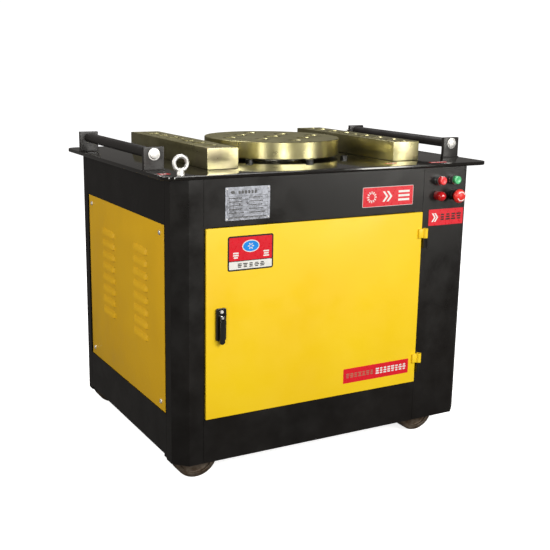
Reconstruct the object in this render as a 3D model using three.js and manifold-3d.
// Floor-standing reinforcing-bar bender: sheet-metal cabinet on four wheels, steel table,
// turning disc with pin holes, two socket blocks, guide rollers, and the drive inside.
// Millimetres, +Z up, front of the cabinet towards -Y.
import * as THREE from "three";
import * as BufferGeometryUtils from "three/addons/utils/BufferGeometryUtils.js";
import Module from "manifold-3d";

// ---------------------------------------------------------------- driving dimensions
const gap = 0.3; // air kept between pieces that touch
const runningGap = 0.6; // air between a turning piece and what holds it
const shaftFacets = 24; // sides of shafts, their bores and the pulleys
const controlFacets = 14; // sides of buttons, collars and the holes they sit in
const smallFacets = 12; // sides of pins, rods, bolts and their holes
const tableCornerSteps = 6; // facets in a rounded corner of the table

// cabinet
const bodyWidth = 944;
const bodyDepth = 741;
const bodyBottom = 51;
const bodyTop = 804;
const sideSkirtBottom = 62;
const sheet = 3;
const cornerChamfer = 35.5;
const frontLeg = 40; // width of a post's leg along X
const sideLeg = 33; // width of a post's leg along Y
const rebateWidth = 24; // step behind a post's edge that panels seat on
const rebateDrop = sheet + gap;
const controlWidth = 147.5; // front face of the right-hand column
const seamGap = 0.8; // joint line between sheets
const frontPanelHeight = 122; // above the door
const skirtTop = 171;

// table
const tableThickness = 10;
const tableCornerRadius = 35;
const tableOverhangLeft = 29;
const tableOverhangRight = 54;
const tableOverhangFront = 0.5;
const tableOverhangRear = 46.5;
const tableSpindleHole = 184;

// bending disc
const discDiameter = 400;
const discThickness = 48;
const discLift = 8;
const discSocket = 50;
const pinHole = 40;
const pinGridPitch = 97.6;

// socket blocks
const blockWidth = 90;
const blockLength = 544;
const blockHeight = 56;
const blockCentreX = 295;
const blockPinPitch = 70;
const blockGroupOffset = 125; // middle of each group of three pin holes
const blockPinHole = 38;
const blockBoltHole = 22;
const blockBoltInset = 22; // end bolt's distance from the block's end

// guide rollers
const bracketWidth = 56;
const bracketHeight = 59;
const bracketThickness = 12;
const rollerInset = 31; // roller's axis from the table's side edge
const rollerFrontInset = 140; // front bracket's face from the table's front edge
const rollerRearInset = 127;
const rollerLift = 41.5;
const rollerTube = 28;
const rollerRod = 16;
const rollerHead = 31;
const rollerHeadHeight = 7;

// eye bolts
const eyeOuter = 45;
const eyeInner = 25;
const eyeLift = 30; // ring centre above its collar's seat
const eyeCollar = 20;
const eyeCollarHeight = 6;
const eyeThread = 10;
const eyeSideInset = 52;
const eyeFrontInset = 21;
const eyeRearInset = 92;
const eyeRearSideInset = 23;

// door
const doorLatchGap = 4.5; // between the door's free edge and its post
const doorHingeGap = 3;
const doorBottomGap = 2.5;
const doorTopGap = 2;
const doorProud = 5.5;
const hingeOffset = 6; // hinge axis from the column's edge
const knuckleDiameter = 16;
const knuckleLength = 28;
const hingePin = 8;
const upperHingeJoint = 605; // level where the two knuckles of a hinge meet
const lowerHingeJoint = 233;

// door lock
const lockInset = 40.5; // from the door's free edge
const lockBottom = 387;
const lockTop = 473;
const lockWidth = 29;
const lockDepth = 7;
const leverPivotZ = 449;
const leverTipZ = 378;
const leverWidth = 15;
const leverThickness = 6;
const spindleDiameter = 9;
const leverStandoff = 2.5; // space behind the lever that lets it tilt
const leverAbovePin = 4.5;
const leverPin = 3;
const tongueWidth = 6; // tongue on the spindle that the lever hangs on
const tongueHeight = 5.5;
const latchLength = 40;
const latchWidth = 16;
const latchThickness = 3;
const latchClearance = 2; // between the latch and the lip that it goes behind

// louvred side covers
const coverSideGap = 10; // between a cover's edge and its post
const coverBottomGap = 8;
const coverThickness = 2;
const louvresPerColumn = 8;
const louvreLength = 102;
const louvreHeight = 18;
const louvrePitch = 34;
const louvreDepth = 8;
const louvreWall = 1.6;
const louvreColumnOffset = 125;
const louvreFirstBottom = 345;

// rear cover
const rearCoverOverlap = 9;
const rearCoverRaise = 4;

// controls
const controlInset = 49; // left-hand controls from the column's edge
const controlPitchX = 52;
const controlDrop = 35.5; // upper controls below the top of the body
const controlPitchZ = 44.5;
const panelCutout = 22;
const collarDiameter = 29;
const collarHeight = 16;
const capDiameter = 23;
const lampShoulder = 19; // straight part of the pilot lens
const capProud = 11;
const capTravel = 4;
const stopHeadDiameter = 40;
const stopHeadReach = 45;
const barrelDepth = 40; // threaded barrel behind the panel

// wheels
const wheelDiameter = 125;
const wheelWidth = 40;
const wheelFaceInset = 34.5; // outer face of a wheel behind the face of the body
const wheelLeftClearance = 9.5; // between the side of the body and a wheel
const wheelRightClearance = 78.5;
const wheelAxle = 20;
const rimStep = 8; // how far a wheel's web lies behind its rim
const forkPlate = 6;
const forkWidth = 64;
const forkHeadroom = 6; // space above a wheel inside its fork
const basePlate = 8;
const baseRail = 40;
const baseRailThickness = 5;

// gearbox and spindle
const housingWall = 10;
const housingFloor = 12;
const housingBottom = 560;
const housingRim = 735;
const coverPlate = 12;
const housingClearance = 8;
const finalModule = 9;
const finalPinionTeeth = 10;
const finalGearTeeth = 40;
const finalGearWidth = 50;
const finalGearBottom = 660;
const firstModule = 5;
const firstPinionTeeth = 12;
const firstGearTeeth = 48;
const firstGearWidth = 35;
const firstGearBottom = 592;
const spindleRadius = 45;
const spindleJournal = 55;
const spindleFlange = 110;
const spindleFlangeThickness = 7;
const layshaftRadius = 25;
const inputRadius = 18;
const bearingBody = 85;
const bearingFlange = 150;
const socketDepth = 60; // how far the centre socket goes down into the spindle

// belt drive and motor
const drivenPulley = 280;
const motorPulley = 92;
const pulleyWidth = 50;
const pulleyBottom = 505;
const pulleyRim = 16;
const pulleyWeb = 9;
const beltWidth = 17;
const beltThickness = 11;
const beltTaper = 1; // how much narrower the belt is on each side at its foot
const beltSink = 3; // how far the belt stands below the pulley's rim
const motorX = -150;
const motorDiameter = 200;
const motorHeight = 310;
const motorShaft = 14;
const motorFoot = 8;

// ---------------------------------------------------------------- worked-out levels
const halfWidth = bodyWidth / 2;
const halfDepth = bodyDepth / 2;
const tableTop = bodyTop + tableThickness;
const tableLeft = -halfWidth - tableOverhangLeft;
const tableRight = halfWidth + tableOverhangRight;
const tableFront = -halfDepth - tableOverhangFront;
const tableRear = halfDepth + tableOverhangRear;
const rollerFrontY = tableFront + rollerFrontInset;
const rollerRearY = tableRear - rollerRearInset;
const discBottom = tableTop + discLift;
const discRadius = discDiameter / 2;
const blockTop = tableTop + blockHeight;
const rollerZ = tableTop + rollerLift;
const postInnerY = halfDepth - cornerChamfer - sideLeg;
const postInnerX = halfWidth - cornerChamfer - frontLeg;
const columnInnerX = halfWidth - cornerChamfer - controlWidth;
const controlLeftX = columnInnerX + controlInset;
const controlRightX = controlLeftX + controlPitchX;
const controlUpperZ = bodyTop - controlDrop;
const controlLowerZ = controlUpperZ - controlPitchZ;
const frontOpeningTop = bodyTop - frontPanelHeight;
const doorLeftX = doorLatchGap - postInnerX;
const doorRightX = columnInnerX - doorHingeGap;
const doorBottom = skirtTop + doorBottomGap;
const doorTop = frontOpeningTop - doorTopGap;
const hingeX = columnInnerX + hingeOffset;
const lockX = doorLeftX + lockInset;
const coverHalfWidth = postInnerY - coverSideGap;
const coverBottom = skirtTop + coverBottomGap;
const coverTop = frontOpeningTop + 1;
const wheelFaceY = halfDepth - wheelFaceInset;
const wheelLeftX = wheelLeftClearance + wheelDiameter / 2 - halfWidth;
const wheelRightX = halfWidth - wheelRightClearance - wheelDiameter / 2;
const layshaftX = (finalModule * (finalPinionTeeth + finalGearTeeth)) / 2;
const inputY = (-firstModule * (firstPinionTeeth + firstGearTeeth)) / 2;
const hingeY = -(halfDepth + knuckleDiameter / 2 + runningGap);
const doorFaceY = -(halfDepth + doorProud);
const leverPinY = doorFaceY - lockDepth - leverStandoff - leverThickness / 2;
const doorBackY = -(halfDepth - rebateDrop + 2 * gap);
const wheelZ = wheelDiameter / 2;
const forkTop = wheelDiameter + forkHeadroom + forkPlate;
const floorLevel = forkTop + gap + basePlate; // top of the base plate
const frontReach = halfDepth + stopHeadReach;
const rearReach = Math.max(tableRear, halfDepth + gap + coverThickness + rearCoverRaise);

// ---------------------------------------------------------------- materials
const paint = (name, color, roughness, metalness) =>
  new THREE.MeshStandardMaterial({ name, color, roughness, metalness });
const blackPaint = paint("black_paint", 0x1b1817, 0.38, 0.2);
const yellowPaint = paint("yellow_paint", 0xf4c414, 0.4, 0.1);
const tableBlack = paint("table_black", 0x15120f, 0.18, 0.3);
const passivatedSteel = paint("passivated_steel", 0x9a8f4c, 0.35, 0.85);
const darkSteel = paint("dark_steel", 0x2a2725, 0.45, 0.6);
const brightSteel = paint("bright_steel", 0xc9c9c6, 0.3, 0.9);
const chrome = paint("chrome", 0xdedede, 0.12, 1);
const redPlastic = paint("red_plastic", 0xd21f24, 0.35, 0);
const greenPlastic = paint("green_plastic", 0x18a04a, 0.35, 0);
const lockBlack = paint("lock_black", 0x151515, 0.35, 0.3);
const wheelIron = paint("wheel_iron", 0x6a5d50, 0.55, 0.7);
const castIron = paint("cast_iron", 0x4a4f52, 0.6, 0.6);
const gearSteel = paint("gear_steel", 0x8c8c88, 0.35, 0.9);
const motorGrey = paint("motor_grey", 0x5f6a70, 0.5, 0.3);
const beltRubber = paint("belt_rubber", 0x171717, 0.85, 0);

// ---------------------------------------------------------------- solid modelling helpers
const wasm = await Module();
wasm.setup();

function toSolid(geometry) {
  const bare = geometry.clone();
  bare.deleteAttribute("normal");
  bare.deleteAttribute("uv");
  const merged = BufferGeometryUtils.mergeVertices(bare, 1e-4);
  return new wasm.Manifold(
    new wasm.Mesh({
      numProp: 3,
      vertProperties: new Float32Array(merged.attributes.position.array),
      triVerts: new Uint32Array(merged.index.array),
    })
  );
}

function toGeometry(solid) {
  const mesh = solid.getMesh();
  const geometry = new THREE.BufferGeometry();
  geometry.setAttribute("position", new THREE.BufferAttribute(new Float32Array(mesh.vertProperties), 3));
  geometry.setIndex(new THREE.BufferAttribute(new Uint32Array(mesh.triVerts), 1));
  geometry.computeVertexNormals();
  return geometry;
}

// Joins every geometry of the first list and cuts every geometry of the second.
function combine(added, cut = []) {
  const joined = added.map(toSolid).reduce((whole, piece) => whole.add(piece));
  return toGeometry(cut.map(toSolid).reduce((whole, piece) => whole.subtract(piece), joined));
}

// Box given by its low and high corners.
function box(low, high) {
  const size = high.map((value, axis) => value - low[axis]);
  const middle = high.map((value, axis) => (value + low[axis]) / 2);
  return new THREE.BoxGeometry(...size).translate(...middle);
}

// Upright cylinder between two levels.
function column(radius, bottom, top, segments, x = 0, y = 0) {
  return new THREE.CylinderGeometry(radius, radius, top - bottom, segments)
    .rotateX(Math.PI / 2)
    .translate(x, y, (top + bottom) / 2);
}

// Cylinder along Y between two places.
function rodAlongY(radius, start, end, segments, x = 0, z = 0) {
  return new THREE.CylinderGeometry(radius, radius, end - start, segments).translate(x, (start + end) / 2, z);
}

// Flat outline raised from one level to another.
function prism(outline, bottom, top, holes = [], curveSegments = 20) {
  const shape = outline instanceof THREE.Shape ? outline : new THREE.Shape(outline);
  shape.holes.push(...holes);
  return new THREE.ExtrudeGeometry(shape, { depth: top - bottom, bevelEnabled: false, curveSegments })
    .translate(0, 0, bottom);
}

function roundedRectangle(width, depth, radius) {
  const [right, back] = [width / 2, depth / 2];
  return new THREE.Shape()
    .moveTo(-right + radius, -back)
    .lineTo(right - radius, -back)
    .absarc(right - radius, -back + radius, radius, -Math.PI / 2, 0, false)
    .lineTo(right, back - radius)
    .absarc(right - radius, back - radius, radius, 0, Math.PI / 2, false)
    .lineTo(-right + radius, back)
    .absarc(-right + radius, back - radius, radius, Math.PI / 2, Math.PI, false)
    .lineTo(-right, -back + radius)
    .absarc(-right + radius, -back + radius, radius, Math.PI, Math.PI * 1.5, false);
}

// Body of revolution about Z; each point is [radius, level] and the outline closes on itself or the axis.
// The outline may run either way round: it is turned so that the faces point out.
function turned(profile, segments) {
  const points = profile.map(([radius, level]) => new THREE.Vector2(radius, level));
  if (THREE.ShapeUtils.area(points) < 0) {
    points.reverse();
  }
  if (profile[0][0] > 0) {
    points.push(points[0].clone());
  }
  return new THREE.LatheGeometry(points, segments).rotateX(Math.PI / 2);
}

// Same, with the axis along -Y so that levels run out of the front panel.
function turnedOutwards(profile, segments, x, y, z) {
  return turned(profile, segments).rotateX(Math.PI / 2).translate(x, y, z);
}

const group = new THREE.Group();
group.position.set(-(tableLeft + tableRight) / 2, (frontReach - rearReach) / 2, 0);

function addPart(name, geometry, material) {
  const mesh = new THREE.Mesh(geometry, material);
  mesh.name = name;
  group.add(mesh);
  return mesh;
}

// ---------------------------------------------------------------- cabinet sheets
// Bent corner post: leg along X, chamfer, leg along Y, each leg ending in a step that panels seat on.
// legX is the width of the flat face towards Y.
function postOutline(legX, mirrorX, mirrorY) {
  const xEnd = halfWidth - cornerChamfer - legX;
  const yEnd = postInnerY;
  const legDepth = rebateDrop + sheet;
  const chamferInside = cornerChamfer + sheet * Math.SQRT2 - legDepth;
  const outline = [
    [xEnd, halfDepth],
    [halfWidth - cornerChamfer, halfDepth],
    [halfWidth, halfDepth - cornerChamfer],
    [halfWidth, yEnd],
    [halfWidth - rebateDrop, yEnd],
    [halfWidth - rebateDrop, yEnd - rebateWidth],
    [halfWidth - legDepth, yEnd - rebateWidth],
    [halfWidth - legDepth, halfDepth - chamferInside],
    [halfWidth - chamferInside, halfDepth - legDepth],
    [xEnd - rebateWidth, halfDepth - legDepth],
    [xEnd - rebateWidth, halfDepth - rebateDrop],
    [xEnd, halfDepth - rebateDrop],
  ];
  return outline.map(([x, y]) => new THREE.Vector2(x * mirrorX, y * mirrorY));
}

function cornerPost(mirrorX, mirrorY) {
  return combine([prism(postOutline(frontLeg, mirrorX, mirrorY), bodyBottom, bodyTop - gap)]);
}

// Right-hand column: a corner post whose front face is wide enough for the push buttons.
// The black halves of the door hinges and their pins are welded to it.
function controlColumn() {
  const joints = [upperHingeJoint, lowerHingeJoint];
  const knuckles = joints.flatMap((level) => [
    column(knuckleDiameter / 2, level - knuckleLength - gap, level - gap, smallFacets, hingeX, hingeY),
    column(hingePin / 2, level - knuckleLength, level + knuckleLength - 2, smallFacets, hingeX, hingeY),
    box(
      [hingeX - 2, hingeY, level - knuckleLength],
      [hingeX + 6, -halfDepth + 1, level - 2]
    ),
  ]);
  const cutouts = controlPlaces().map(([x, z]) =>
    rodAlongY(panelCutout / 2 + gap, -halfDepth - 5, -halfDepth + 12, controlFacets, x, z)
  );
  const sheetMetal = prism(postOutline(controlWidth, 1, -1), bodyBottom, bodyTop - gap);
  return combine([sheetMetal, ...knuckles], cutouts);
}

function controlPlaces() {
  return [controlLeftX, controlRightX].flatMap((x) => [controlUpperZ, controlLowerZ].map((z) => [x, z]));
}

// Flat sheet facing +-Y between two X values and two levels.
function frontSheet(left, right, bottom, top) {
  return box([left, -halfDepth, bottom], [right, -halfDepth + sheet, top]);
}

function sideSheet(side, bottom, top) {
  const outer = side * halfWidth;
  const inner = side * (halfWidth - sheet);
  const half = postInnerY - seamGap;
  return box([Math.min(outer, inner), -half, bottom], [Math.max(outer, inner), half, top]);
}

function rearSheet(bottom, top) {
  const half = postInnerX - seamGap;
  return box([-half, halfDepth - sheet, bottom], [half, halfDepth, top]);
}

// Cover that closes a side opening, with pressed louvres open at the bottom.
function louvredCover(side) {
  const face = side * (halfWidth - gap - 1);
  const inner = face - side * coverThickness;
  const low = Math.min(face, inner);
  const high = Math.max(face, inner);
  const plate = box([low, -coverHalfWidth, coverBottom], [high, coverHalfWidth, coverTop]);
  const hoods = [];
  const slots = [];
  for (let row = 0; row < louvresPerColumn; row += 1) {
    const bottom = louvreFirstBottom + row * louvrePitch;
    for (const columnY of [-louvreColumnOffset, louvreColumnOffset]) {
      hoods.push(louvreWedge(side, face - (side * coverThickness) / 2, columnY, bottom, 0));
      slots.push(louvreWedge(side, inner - side, columnY, bottom, louvreWall));
    }
  }
  return combine([plate, ...hoods], slots);
}

// Triangular wedge, deepest at its bottom edge; the inset one hollows the hood and opens it downwards.
function louvreWedge(side, baseX, middleY, bottom, inset) {
  const reach = louvreDepth - inset;
  const height = louvreHeight - inset * 2;
  const outline = [
    [0, inset > 0 ? -1 : 0],
    [reach, inset > 0 ? -1 : 0],
    [reach, 2],
    [0, height],
  ].map(([x, z]) => new THREE.Vector2(x, z));
  const length = louvreLength - inset * 2;
  const wedge = prism(outline, -length / 2, length / 2).rotateX(Math.PI / 2);
  if (side < 0) {
    wedge.rotateZ(Math.PI);
  }
  return wedge.translate(baseX, middleY, bottom);
}

function rearCover() {
  const half = postInnerX + rearCoverOverlap;
  const plate = box(
    [-half, halfDepth + gap, coverBottom - rearCoverOverlap],
    [half, halfDepth + gap + coverThickness, coverTop]
  );
  const raised = box(
    [-half + 40, halfDepth + gap + coverThickness / 2, coverBottom + 31],
    [half - 40, halfDepth + gap + coverThickness + rearCoverRaise, coverTop - 40]
  );
  return combine([plate, raised]);
}

// Base plate with four turned-up rails round its edge.
function baseFrame() {
  const innerX = halfWidth - rebateDrop - sheet - seamGap;
  const innerY = halfDepth - rebateDrop - sheet - seamGap;
  const corner = cornerChamfer + sheet;
  const outline = (x, y, cut) =>
    [
      [-x + cut, -y], [x - cut, -y], [x, -y + cut], [x, y - cut],
      [x - cut, y], [-x + cut, y], [-x, y - cut], [-x, -y + cut],
    ].map(([px, py]) => new THREE.Vector2(px, py));
  const plate = prism(outline(innerX, innerY, corner), floorLevel - basePlate, floorLevel + baseRail);
  const inset = baseRailThickness;
  const hollow = prism(
    outline(innerX - inset, innerY - inset, corner - inset / 2),
    floorLevel,
    floorLevel + baseRail + 1
  );
  return combine([plate], [hollow]);
}

// ---------------------------------------------------------------- door and lock
function door() {
  const skin = box([doorLeftX, doorFaceY, doorBottom], [doorRightX, doorBackY, doorTop]);
  const pan = box(
    [doorLeftX + sheet, doorFaceY + sheet, doorBottom + sheet],
    [doorRightX - sheet, doorBackY + 1, doorTop - sheet]
  );
  const leaves = [upperHingeJoint, lowerHingeJoint].flatMap((level) => [
    column(knuckleDiameter / 2, level + gap, level + knuckleLength, smallFacets, hingeX, hingeY),
    box(
      [doorRightX - 14, hingeY - 2, level + gap],
      [hingeX, doorFaceY + sheet / 2, level + knuckleLength]
    ),
  ]);
  const bores = [upperHingeJoint, lowerHingeJoint].map((level) =>
    column(hingePin / 2 + gap, level - 1, level + knuckleLength + 1, smallFacets, hingeX, hingeY)
  );
  const boreRadius = spindleDiameter / 2 + gap;
  const spindleHole = rodAlongY(boreRadius, doorFaceY - 5, doorBackY, smallFacets, lockX, leverPivotZ);
  return combine([skin, ...leaves], [pan, ...bores, spindleHole]);
}

function lockHousing() {
  const [left, right] = [lockX - lockWidth / 2, lockX + lockWidth / 2];
  const front = doorFaceY - lockDepth;
  const body = box([left, front, lockBottom], [right, doorFaceY - gap, lockTop]);
  const button = rodAlongY(5, front - 3, front + 1, smallFacets, lockX, lockTop - 9);
  const boreRadius = spindleDiameter / 2 + gap;
  const bore = rodAlongY(boreRadius, front - 5, doorFaceY + 1, smallFacets, lockX, leverPivotZ);
  return combine([body, button], [bore]);
}

function rodAlongX(radius, start, end, y, z) {
  return new THREE.CylinderGeometry(radius, radius, end - start, smallFacets)
    .rotateZ(Math.PI / 2)
    .translate((start + end) / 2, y, z);
}

// Spindle through the door with the latch on its inner end, and a tongue outside with the lever's pin.
function lockSpindle() {
  const housingFace = doorFaceY - lockDepth;
  const back = -(halfDepth - rebateDrop - sheet) + latchClearance;
  const end = back + latchThickness;
  const rod = rodAlongY(spindleDiameter / 2, housingFace - 2 * gap, end, smallFacets, lockX, leverPivotZ);
  const tongue = box(
    [lockX - tongueWidth / 2, leverPinY - tongueHeight / 2, leverPivotZ - tongueHeight / 2],
    [lockX + tongueWidth / 2, housingFace - gap, leverPivotZ + tongueHeight / 2]
  );
  const pin = rodAlongX(leverPin / 2, lockX - leverWidth / 2, lockX + leverWidth / 2, leverPinY, leverPivotZ);
  const latch = box(
    [lockX - latchWidth / 2, back, leverPivotZ - latchLength],
    [lockX + latchWidth / 2, back + latchThickness, leverPivotZ + latchWidth / 2]
  );
  return combine([rod, tongue, pin, latch]);
}

// Lever with two prongs either side of the tongue and a round tip.
function lockLever() {
  const half = leverWidth / 2;
  const tip = leverTipZ + half;
  const top = leverPivotZ + leverAbovePin;
  const outline = new THREE.Shape()
    .moveTo(-half, top)
    .lineTo(-half, tip)
    .absarc(0, tip, half, Math.PI, Math.PI * 2, false)
    .lineTo(half, top);
  const bar = prism(outline, -leverThickness / 2, leverThickness / 2, [], 5)
    .rotateX(Math.PI / 2)
    .translate(lockX, leverPinY, 0);
  const slotHalf = tongueWidth / 2 + gap;
  const slot = box(
    [lockX - slotHalf, leverPinY - leverThickness, leverPivotZ - tongueHeight],
    [lockX + slotHalf, leverPinY + leverThickness, top + 1]
  );
  const holeRadius = leverPin / 2 + gap;
  const pinHole = rodAlongX(holeRadius, lockX - leverWidth, lockX + leverWidth, leverPinY, leverPivotZ);
  return combine([bar], [slot, pinHole]);
}

// ---------------------------------------------------------------- controls
function threadedCollar(x, z, outer, height, bore) {
  const hole = panelCutout / 2;
  const profile = [
    [bore, height],
    [outer - 1.5, height],
    [outer, height - 1.5],
    [outer, gap],
    [hole, gap],
    [hole, -barrelDepth],
    [bore, -barrelDepth],
  ];
  return turnedOutwards(profile, controlFacets, x, -halfDepth, z);
}

function pushCap(x, z) {
  const radius = capDiameter / 2;
  const top = collarHeight + capProud;
  const neck = capDiameter / 2 - 3;
  const profile = [
    [0, top],
    [radius - 2, top],
    [radius, top - 2],
    [radius, collarHeight + capTravel + gap],
    [neck, collarHeight + capTravel + gap],
    [neck, -barrelDepth + 8],
    [0, -barrelDepth + 8],
  ];
  return turnedOutwards(profile, controlFacets, x, -halfDepth, z);
}

function pilotLamp(x, z) {
  const radius = capDiameter / 2 + 2;
  const dome = [];
  for (let step = 0; step <= 4; step += 1) {
    const angle = (step / 4) * (Math.PI / 2);
    dome.push([radius * Math.sin(angle), lampShoulder + radius * Math.cos(angle)]);
  }
  dome[0][0] = 0;
  const profile = [
    ...dome,
    [radius, gap],
    [panelCutout / 2, gap],
    [panelCutout / 2, -barrelDepth],
    [0, -barrelDepth],
  ];
  return turnedOutwards(profile, controlFacets, x, -halfDepth, z);
}

function stopPlunger(x, z, stemRadius) {
  const profile = [
    [0, stopHeadReach - 12],
    [stemRadius, stopHeadReach - 12],
    [stemRadius, -barrelDepth + 8],
    [0, -barrelDepth + 8],
  ];
  return turnedOutwards(profile, controlFacets, x, -halfDepth, z);
}

// Mushroom head with a blind hole that turns on the plunger.
function stopHead(x, z, stemRadius) {
  const radius = stopHeadDiameter / 2;
  const profile = [
    [0, stopHeadReach],
    [radius * 0.62, stopHeadReach - 1.5],
    [radius, stopHeadReach - 8],
    [radius, stopHeadReach - 13],
    [radius - 5, stopHeadReach - 19],
    [stemRadius + gap, stopHeadReach - 19],
    [stemRadius + gap, stopHeadReach - 12 + gap],
    [0, stopHeadReach - 12 + gap],
  ];
  return turnedOutwards(profile, controlFacets, x, -halfDepth, z);
}

// ---------------------------------------------------------------- table, disc, blocks
function tablePlate() {
  const shape = roundedRectangle(tableRight - tableLeft, tableRear - tableFront, tableCornerRadius);
  const spindleHole = column(tableSpindleHole / 2, bodyTop - 1, tableTop + 1, shaftFacets);
  const eyeBoltHoles = eyeBoltPlaces().map(([x, y]) =>
    column(eyeThread / 2 + gap, bodyTop - 1, tableTop + 1, smallFacets, x, y)
  );
  const plate = prism(shape, bodyTop, tableTop, [], tableCornerSteps)
    .translate((tableLeft + tableRight) / 2, (tableFront + tableRear) / 2, 0);
  return combine([plate], [spindleHole, ...eyeBoltHoles]);
}

// Centre socket and a square grid of eight pin holes turned by an eighth of a turn.
function discHoles() {
  const places = [[0, 0, discSocket / 2]];
  for (let step = 0; step < 8; step += 1) {
    const angle = (step * Math.PI) / 4;
    const reach = step % 2 === 0 ? pinGridPitch * Math.SQRT2 : pinGridPitch;
    places.push([reach * Math.cos(angle), reach * Math.sin(angle), pinHole / 2]);
  }
  return places;
}

function bendingDisc() {
  const top = discBottom + discThickness;
  const cuts = discHoles().map(([x, y, radius]) => column(radius, discBottom - 1, top + 1, 16, x, y));
  return combine([column(discRadius, discBottom, top, 56)], cuts);
}

function blockPinPlaces() {
  return [-1, 1].flatMap((side) =>
    [-1, 0, 1].map((step) => side * (blockGroupOffset + step * blockPinPitch))
  );
}

function socketBlock(x) {
  const half = blockWidth / 2;
  const end = blockLength / 2;
  const body = box([x - half, -end, tableTop + gap], [x + half, end, blockTop]);
  const pins = blockPinPlaces().map((y) =>
    column(blockPinHole / 2, tableTop - 1, blockTop + 1, smallFacets, x, y)
  );
  const bolts = [-1, 1].flatMap((side) => [
    column(blockBoltHole / 2, tableTop + 20, blockTop + 1, smallFacets, x, side * (end - blockBoltInset)),
  ]);
  const middleBolt = column(blockBoltHole / 2, tableTop + 20, blockTop + 1, smallFacets, x, 0);
  return combine([body], [...pins, ...bolts, middleBolt]);
}

// ---------------------------------------------------------------- guide rollers and eye bolts
function rollerBracket(x, faceY, inward) {
  const [low, high] = [faceY, faceY + inward * bracketThickness].sort((a, b) => a - b);
  const half = bracketWidth / 2;
  const plate = box([x - half, low, tableTop + gap], [x + half, high, tableTop + bracketHeight]);
  return combine([plate], [rodAlongY(rollerRod / 2 + gap, low - 1, high + 1, smallFacets, x, rollerZ)]);
}

function rollerRodGeometry(x) {
  const front = rollerFrontY - gap;
  const rear = rollerRearY + gap;
  const rod = rodAlongY(rollerRod / 2, front - 1, rear + 1, smallFacets, x, rollerZ);
  const frontHead = rodAlongY(rollerHead / 2, front - rollerHeadHeight, front, smallFacets, x, rollerZ);
  const rearNut = new THREE.CylinderGeometry(13, 13, 12, 6).translate(x, rear + 6, rollerZ);
  return combine([rod, frontHead, rearNut]);
}

function rollerTubeGeometry(x) {
  const front = rollerFrontY + bracketThickness + runningGap;
  const rear = rollerRearY - bracketThickness - runningGap;
  const outer = rodAlongY(rollerTube / 2, front, rear, smallFacets, x, rollerZ);
  const bore = rodAlongY(rollerRod / 2 + gap, front - 1, rear + 1, smallFacets, x, rollerZ);
  return combine([outer], [bore]);
}

function eyeBoltPlaces() {
  return [
    [tableLeft + eyeSideInset, tableFront + eyeFrontInset],
    [tableRight - eyeRearSideInset, tableRear - eyeRearInset],
  ];
}

function eyeBolt(x, y) {
  const tubeRadius = (eyeOuter - eyeInner) / 4;
  const ringRadius = (eyeOuter + eyeInner) / 4;
  const ring = new THREE.TorusGeometry(ringRadius, tubeRadius, 6, 16)
    .rotateX(Math.PI / 2)
    .translate(x, y, tableTop + eyeLift);
  const seat = tableTop + gap;
  const collar = column(eyeCollar / 2, seat, seat + eyeCollarHeight, smallFacets, x, y);
  const neck = column(eyeCollar / 3, seat + 1, tableTop + eyeLift - eyeInner / 2 - 2, smallFacets, x, y);
  const thread = column(eyeThread / 2, bodyTop + 1, seat + 1, smallFacets, x, y);
  return combine([ring, collar, neck, thread]);
}

// ---------------------------------------------------------------- wheels
function wheelY(side) {
  return side * (wheelFaceY - wheelWidth / 2);
}

function wheel(x, side) {
  const radius = wheelDiameter / 2;
  const half = wheelWidth / 2;
  const hub = wheelAxle / 2 + 9;
  const bore = wheelAxle / 2 + gap;
  const profile = [
    [bore, -half],
    [hub, -half],
    [hub, -half + rimStep],
    [radius - 12, -half + rimStep],
    [radius - 12, -half],
    [radius, -half],
    [radius, half],
    [bore, half],
  ];
  return turned(profile, shaftFacets).rotateX(Math.PI / 2).translate(x, wheelY(side), wheelZ);
}

// U-shaped bracket under the base plate, with the axle through both cheeks.
function wheelFork(x, side) {
  const reach = wheelWidth / 2 + 1;
  const middle = wheelY(side);
  const half = forkWidth / 2;
  const crown = box(
    [x - half, middle - reach - forkPlate, forkTop - forkPlate],
    [x + half, middle + reach + forkPlate, forkTop]
  );
  const cheek = (face) =>
    box([x - half, face, wheelZ - wheelAxle], [x + half, face + forkPlate, forkTop]);
  const axleReach = reach + forkPlate + 4;
  const axle = rodAlongY(wheelAxle / 2, middle - axleReach, middle + axleReach, smallFacets, x, wheelZ);
  return combine([crown, cheek(middle - reach - forkPlate), cheek(middle + reach), axle]);
}

// ---------------------------------------------------------------- gearbox
// Straight-sided teeth with play at their flanks. The tooth at startAngle points along that angle.
function gearShape(module, teeth, startAngle) {
  const root = (module * teeth) / 2 - module * 1.1;
  const tip = (module * teeth) / 2 + module * 0.75;
  const pitchAngle = (Math.PI * 2) / teeth;
  const points = [];
  for (let tooth = 0; tooth < teeth; tooth += 1) {
    const middle = startAngle + tooth * pitchAngle;
    for (const [radius, share] of [[root, -0.3], [tip, -0.12], [tip, 0.12], [root, 0.3]]) {
      const angle = middle + share * pitchAngle;
      points.push(new THREE.Vector2(radius * Math.cos(angle), radius * Math.sin(angle)));
    }
  }
  return new THREE.Shape(points);
}

function gearWheel(module, teeth, startAngle, bottom, width, bore, x, y) {
  const blank = prism(gearShape(module, teeth, startAngle), bottom, bottom + width);
  const hole = column(bore, bottom - 1, bottom + width + 1, shaftFacets);
  return combine([blank], [hole]).translate(x, y, 0);
}

function gearboxOutline(inset) {
  const margin = housingClearance + housingWall - inset;
  const left = (finalModule * finalGearTeeth) / 2 + finalModule + margin;
  const right = layshaftX + (firstModule * firstGearTeeth) / 2 + firstModule + margin;
  const shape = roundedRectangle(left + right, left * 2, 30 - inset);
  const middle = (right - left) / 2;
  return { shape, middle };
}

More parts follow.
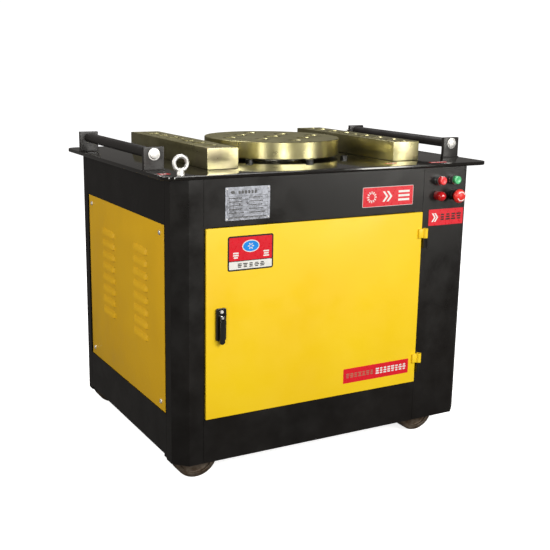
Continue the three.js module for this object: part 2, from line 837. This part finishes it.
function gearboxHousing() {
  const outer = gearboxOutline(0);
  const inner = gearboxOutline(housingWall);
  const shell = prism(outer.shape, housingBottom, housingRim, [], 4).translate(outer.middle, 0, 0);
  const hollow = prism(inner.shape, housingBottom + housingFloor, housingRim + 1, [], 4)
    .translate(inner.middle, 0, 0);
  const holeRadius = inputRadius + runningGap;
  const holeTop = housingBottom + housingFloor + 1;
  const shaftHole = column(holeRadius, housingBottom - 1, holeTop, shaftFacets, layshaftX, inputY);
  return combine([shell], [hollow, shaftHole]);
}

// Lid cast in one with the bearing tower that hangs the gearbox from the underside of the table.
function gearboxCover() {
  const outer = gearboxOutline(0);
  const bottom = housingRim + gap;
  const lidTop = bottom + coverPlate;
  const lid = prism(outer.shape, bottom, lidTop, [], 4).translate(outer.middle, 0, 0);
  const profile = [
    [0, bottom + 1],
    [bearingFlange - 30, bottom + 1],
    [bearingFlange - 30, lidTop + 6],
    [bearingBody, lidTop + 12],
    [bearingBody, bodyTop - 14],
    [bearingFlange, bodyTop - 12],
    [bearingFlange, bodyTop - gap],
    [tableSpindleHole / 2 - gap, bodyTop - gap],
    [tableSpindleHole / 2 - gap, tableTop - 1],
    [0, tableTop - 1],
  ];
  const bore = column(spindleRadius + runningGap, bottom - 1, lidTop, shaftFacets);
  const bearingBore = column(spindleJournal + runningGap, bottom + coverPlate, tableTop + 1, shaftFacets);
  return combine([lid, turned(profile, shaftFacets)], [bore, bearingBore]);
}

// Output spindle: journals, flange that carries the disc, and the centre socket.
function mainShaft() {
  const top = discBottom - gap;
  const flangeBottom = top - spindleFlangeThickness;
  const shoulder = housingRim + coverPlate + gap + runningGap;
  const profile = [
    [0, housingBottom + housingFloor + runningGap],
    [spindleRadius, housingBottom + housingFloor + runningGap],
    [spindleRadius, shoulder],
    [spindleJournal, shoulder],
    [spindleJournal, flangeBottom],
    [spindleFlange, flangeBottom],
    [spindleFlange, top],
    [discSocket / 2, top],
    [discSocket / 2, top - socketDepth],
    [0, top - socketDepth],
  ];
  return turned(profile, shaftFacets);
}

function layshaft() {
  const bottom = housingBottom + housingFloor + runningGap;
  const rod = column(layshaftRadius, bottom, housingRim - 1, shaftFacets);
  // a gap between two pinion teeth points at the output gear
  const start = Math.PI + Math.PI / finalPinionTeeth;
  const pinion = prism(
    gearShape(finalModule, finalPinionTeeth, start),
    finalGearBottom - 5, finalGearBottom + finalGearWidth + 5
  );
  return combine([rod, pinion]).translate(layshaftX, 0, 0);
}

function inputShaft() {
  const rod = column(inputRadius, pulleyBottom - 10, firstGearBottom + firstGearWidth + 25, shaftFacets);
  // a gap between two pinion teeth points at the layshaft gear
  const start = Math.PI / 2 + Math.PI / firstPinionTeeth;
  const pinion = prism(
    gearShape(firstModule, firstPinionTeeth, start),
    firstGearBottom - 4, firstGearBottom + firstGearWidth + 4
  );
  return combine([rod, pinion]).translate(layshaftX, inputY, 0);
}

// ---------------------------------------------------------------- belt drive and motor
// Belt sits in the middle of each pulley; the groove is wider than the belt by the running gap.
function pulley(diameter, shaftRadius, webbed) {
  const rim = diameter / 2;
  const grooveFloor = rim - beltThickness - beltSink - 2;
  const middle = pulleyBottom + pulleyWidth / 2;
  const mouth = beltWidth / 2 + runningGap * 2;
  const foot = beltWidth / 2 - beltTaper + gap;
  const halfRim = webbed ? beltWidth / 2 + 6 : pulleyWidth / 2;
  const bore = shaftRadius + gap;
  const rimInside = rim - pulleyRim - 4;
  const hub = shaftRadius + 14;
  const web = webbed
    ? [[rimInside, -halfRim], [rimInside, -pulleyWeb / 2], [hub, -pulleyWeb / 2], [hub, -pulleyWidth / 2]]
    : [];
  const lower = [...web, [bore, -pulleyWidth / 2]];
  const outline = [
    [rim, halfRim],
    [rim, mouth],
    [grooveFloor, foot],
    [grooveFloor, -foot],
    [rim, -mouth],
    [rim, -halfRim],
    ...lower,
    ...lower.map(([radius, level]) => [radius, -level]).reverse(),
  ].map(([radius, level]) => [radius, middle + level]);
  return turned(outline, shaftFacets);
}

// Outline of a belt wrapped round two circles of different size.
function beltShape(radiusA, a, radiusB, b) {
  const along = Math.atan2(b[1] - a[1], b[0] - a[0]);
  const distance = Math.hypot(b[0] - a[0], b[1] - a[1]);
  const spread = Math.acos((radiusA - radiusB) / distance);
  const shape = new THREE.Shape();
  shape.absarc(a[0], a[1], radiusA, along + spread, along - spread + Math.PI * 2, false);
  shape.absarc(b[0], b[1], radiusB, along - spread, along + spread, false);
  return shape;
}

function driveBelt() {
  const centres = [[motorX, inputY], [layshaftX, inputY]];
  const outside = beltSink;
  const inside = beltSink + beltThickness;
  const [motorRim, drivenRim] = [motorPulley / 2, drivenPulley / 2];
  const middle = pulleyBottom + pulleyWidth / 2;
  const bottom = middle - beltWidth / 2 + beltTaper;
  const top = middle + beltWidth / 2 - beltTaper;
  const outer = beltShape(motorRim - outside, centres[0], drivenRim - outside, centres[1]);
  const inner = beltShape(motorRim - inside, centres[0], drivenRim - inside, centres[1]);
  return combine([prism(outer, bottom, top, [], 8)], [prism(inner, bottom - 1, top + 1, [], 8)]);
}

function motorHousing() {
  const radius = motorDiameter / 2;
  const bottom = floorLevel + gap;
  const top = bottom + motorHeight;
  const bore = motorShaft + runningGap;
  const profile = [
    [0, bottom],
    [radius + 25, bottom],
    [radius + 25, bottom + motorFoot],
    [radius, bottom + motorFoot],
    [radius, top - 40],
    [radius - 20, top - 15],
    [radius - 50, top],
    [bore, top],
    [bore, bottom + 60],
    [0, bottom + 60],
  ];
  const body = turned(profile, 16);
  const terminalBox = box([-60, radius - 8, bottom + 150], [60, radius + 45, bottom + 250]);
  return combine([body, terminalBox]).translate(motorX, inputY, 0);
}

// Rotor shaft with the small pulley shrunk on its end.
function motorShaftGeometry() {
  const bottom = floorLevel + gap + 60 + runningGap;
  const rod = column(motorShaft, bottom, pulleyBottom + pulleyWidth + 4, shaftFacets);
  return combine([rod, pulley(motorPulley, motorShaft - 2, false)]).translate(motorX, inputY, 0);
}

// ---------------------------------------------------------------- assembly
addPart("base_frame", baseFrame(), blackPaint);
addPart("front_left_post", cornerPost(-1, -1), blackPaint);
addPart("rear_left_post", cornerPost(-1, 1), blackPaint);
addPart("rear_right_post", cornerPost(1, 1), blackPaint);
addPart("control_column", controlColumn(), blackPaint);

const frontLeft = -postInnerX + seamGap;
const frontRight = columnInnerX - seamGap;
addPart("front_upper_panel", frontSheet(frontLeft, frontRight, frontOpeningTop, bodyTop - gap), blackPaint);
addPart("front_skirt", frontSheet(frontLeft, frontRight, bodyBottom, skirtTop), blackPaint);
for (const [label, side] of [["left", -1], ["right", 1]]) {
  addPart(`${label}_upper_panel`, sideSheet(side, coverTop + seamGap, bodyTop - gap), blackPaint);
  addPart(`${label}_lower_panel`, sideSheet(side, sideSkirtBottom, coverBottom - seamGap), blackPaint);
  addPart(`${label}_louvred_cover`, louvredCover(side), yellowPaint);
}
addPart("rear_panel", rearSheet(bodyBottom, bodyTop - gap), blackPaint);
addPart("rear_cover", rearCover(), yellowPaint);

addPart("table_plate", tablePlate(), tableBlack);
addPart("bending_disc", bendingDisc(), passivatedSteel);
addPart("left_socket_block", socketBlock(-blockCentreX), passivatedSteel);
addPart("right_socket_block", socketBlock(blockCentreX), passivatedSteel);
for (const [label, side] of [["left", -1], ["right", 1]]) {
  const x = side < 0 ? tableLeft + rollerInset : tableRight - rollerInset;
  addPart(`${label}_front_roller_bracket`, rollerBracket(x, rollerFrontY, 1), darkSteel);
  addPart(`${label}_rear_roller_bracket`, rollerBracket(x, rollerRearY, -1), darkSteel);
  addPart(`${label}_roller_rod`, rollerRodGeometry(x), brightSteel);
  addPart(`${label}_roller_tube`, rollerTubeGeometry(x), darkSteel);
}
eyeBoltPlaces().forEach(([x, y], index) => {
  addPart(["front_left_eye_bolt", "rear_right_eye_bolt"][index], eyeBolt(x, y), brightSteel);
});

addPart("door", door(), yellowPaint);
addPart("lock_housing", lockHousing(), lockBlack);
addPart("lock_spindle", lockSpindle(), brightSteel);
addPart("lock_lever", lockLever(), lockBlack);

const pushRadius = collarDiameter / 2;
const capNeck = capDiameter / 2 - 3 + runningGap;
const pushCollar = (x) => threadedCollar(x, controlUpperZ, pushRadius, collarHeight, capNeck);
addPart("stop_button_collar", pushCollar(controlLeftX), chrome);
addPart("stop_button_cap", pushCap(controlLeftX, controlUpperZ), redPlastic);
addPart("start_button_collar", pushCollar(controlRightX), chrome);
addPart("start_button_cap", pushCap(controlRightX, controlUpperZ), greenPlastic);
addPart("pilot_lamp", pilotLamp(controlLeftX, controlLowerZ), redPlastic);
const stopStem = 7;
addPart(
  "emergency_stop_collar",
  threadedCollar(controlRightX, controlLowerZ, pushRadius, collarHeight, stopStem + runningGap),
  lockBlack
);
addPart("emergency_stop_plunger", stopPlunger(controlRightX, controlLowerZ, stopStem), redPlastic);
addPart("emergency_stop_head", stopHead(controlRightX, controlLowerZ, stopStem), redPlastic);

for (const [end, side] of [["front", -1], ["rear", 1]]) {
  for (const [label, x] of [["left", wheelLeftX], ["right", wheelRightX]]) {
    addPart(`${end}_${label}_wheel`, wheel(x, side), wheelIron);
    addPart(`${end}_${label}_wheel_fork`, wheelFork(x, side), blackPaint);
  }
}

addPart("gearbox_housing", gearboxHousing(), castIron);
addPart("gearbox_cover", gearboxCover(), castIron);
addPart("main_shaft", mainShaft(), gearSteel);
const finalGearBore = spindleRadius + gap;
addPart(
  "output_gear",
  gearWheel(finalModule, finalGearTeeth, 0, finalGearBottom, finalGearWidth, finalGearBore, 0, 0),
  gearSteel
);
addPart("layshaft", layshaft(), gearSteel);
const firstGearBore = layshaftRadius + gap;
addPart(
  "layshaft_gear",
  gearWheel(
    firstModule, firstGearTeeth, -Math.PI / 2, firstGearBottom, firstGearWidth, firstGearBore, layshaftX, 0
  ),
  gearSteel
);
addPart("input_shaft", inputShaft(), gearSteel);
addPart("driven_pulley", pulley(drivenPulley, inputRadius, true).translate(layshaftX, inputY, 0), castIron);
addPart("drive_belt", driveBelt(), beltRubber);
addPart("motor_housing", motorHousing(), motorGrey);
addPart("motor_shaft", motorShaftGeometry(), gearSteel);

export default group;
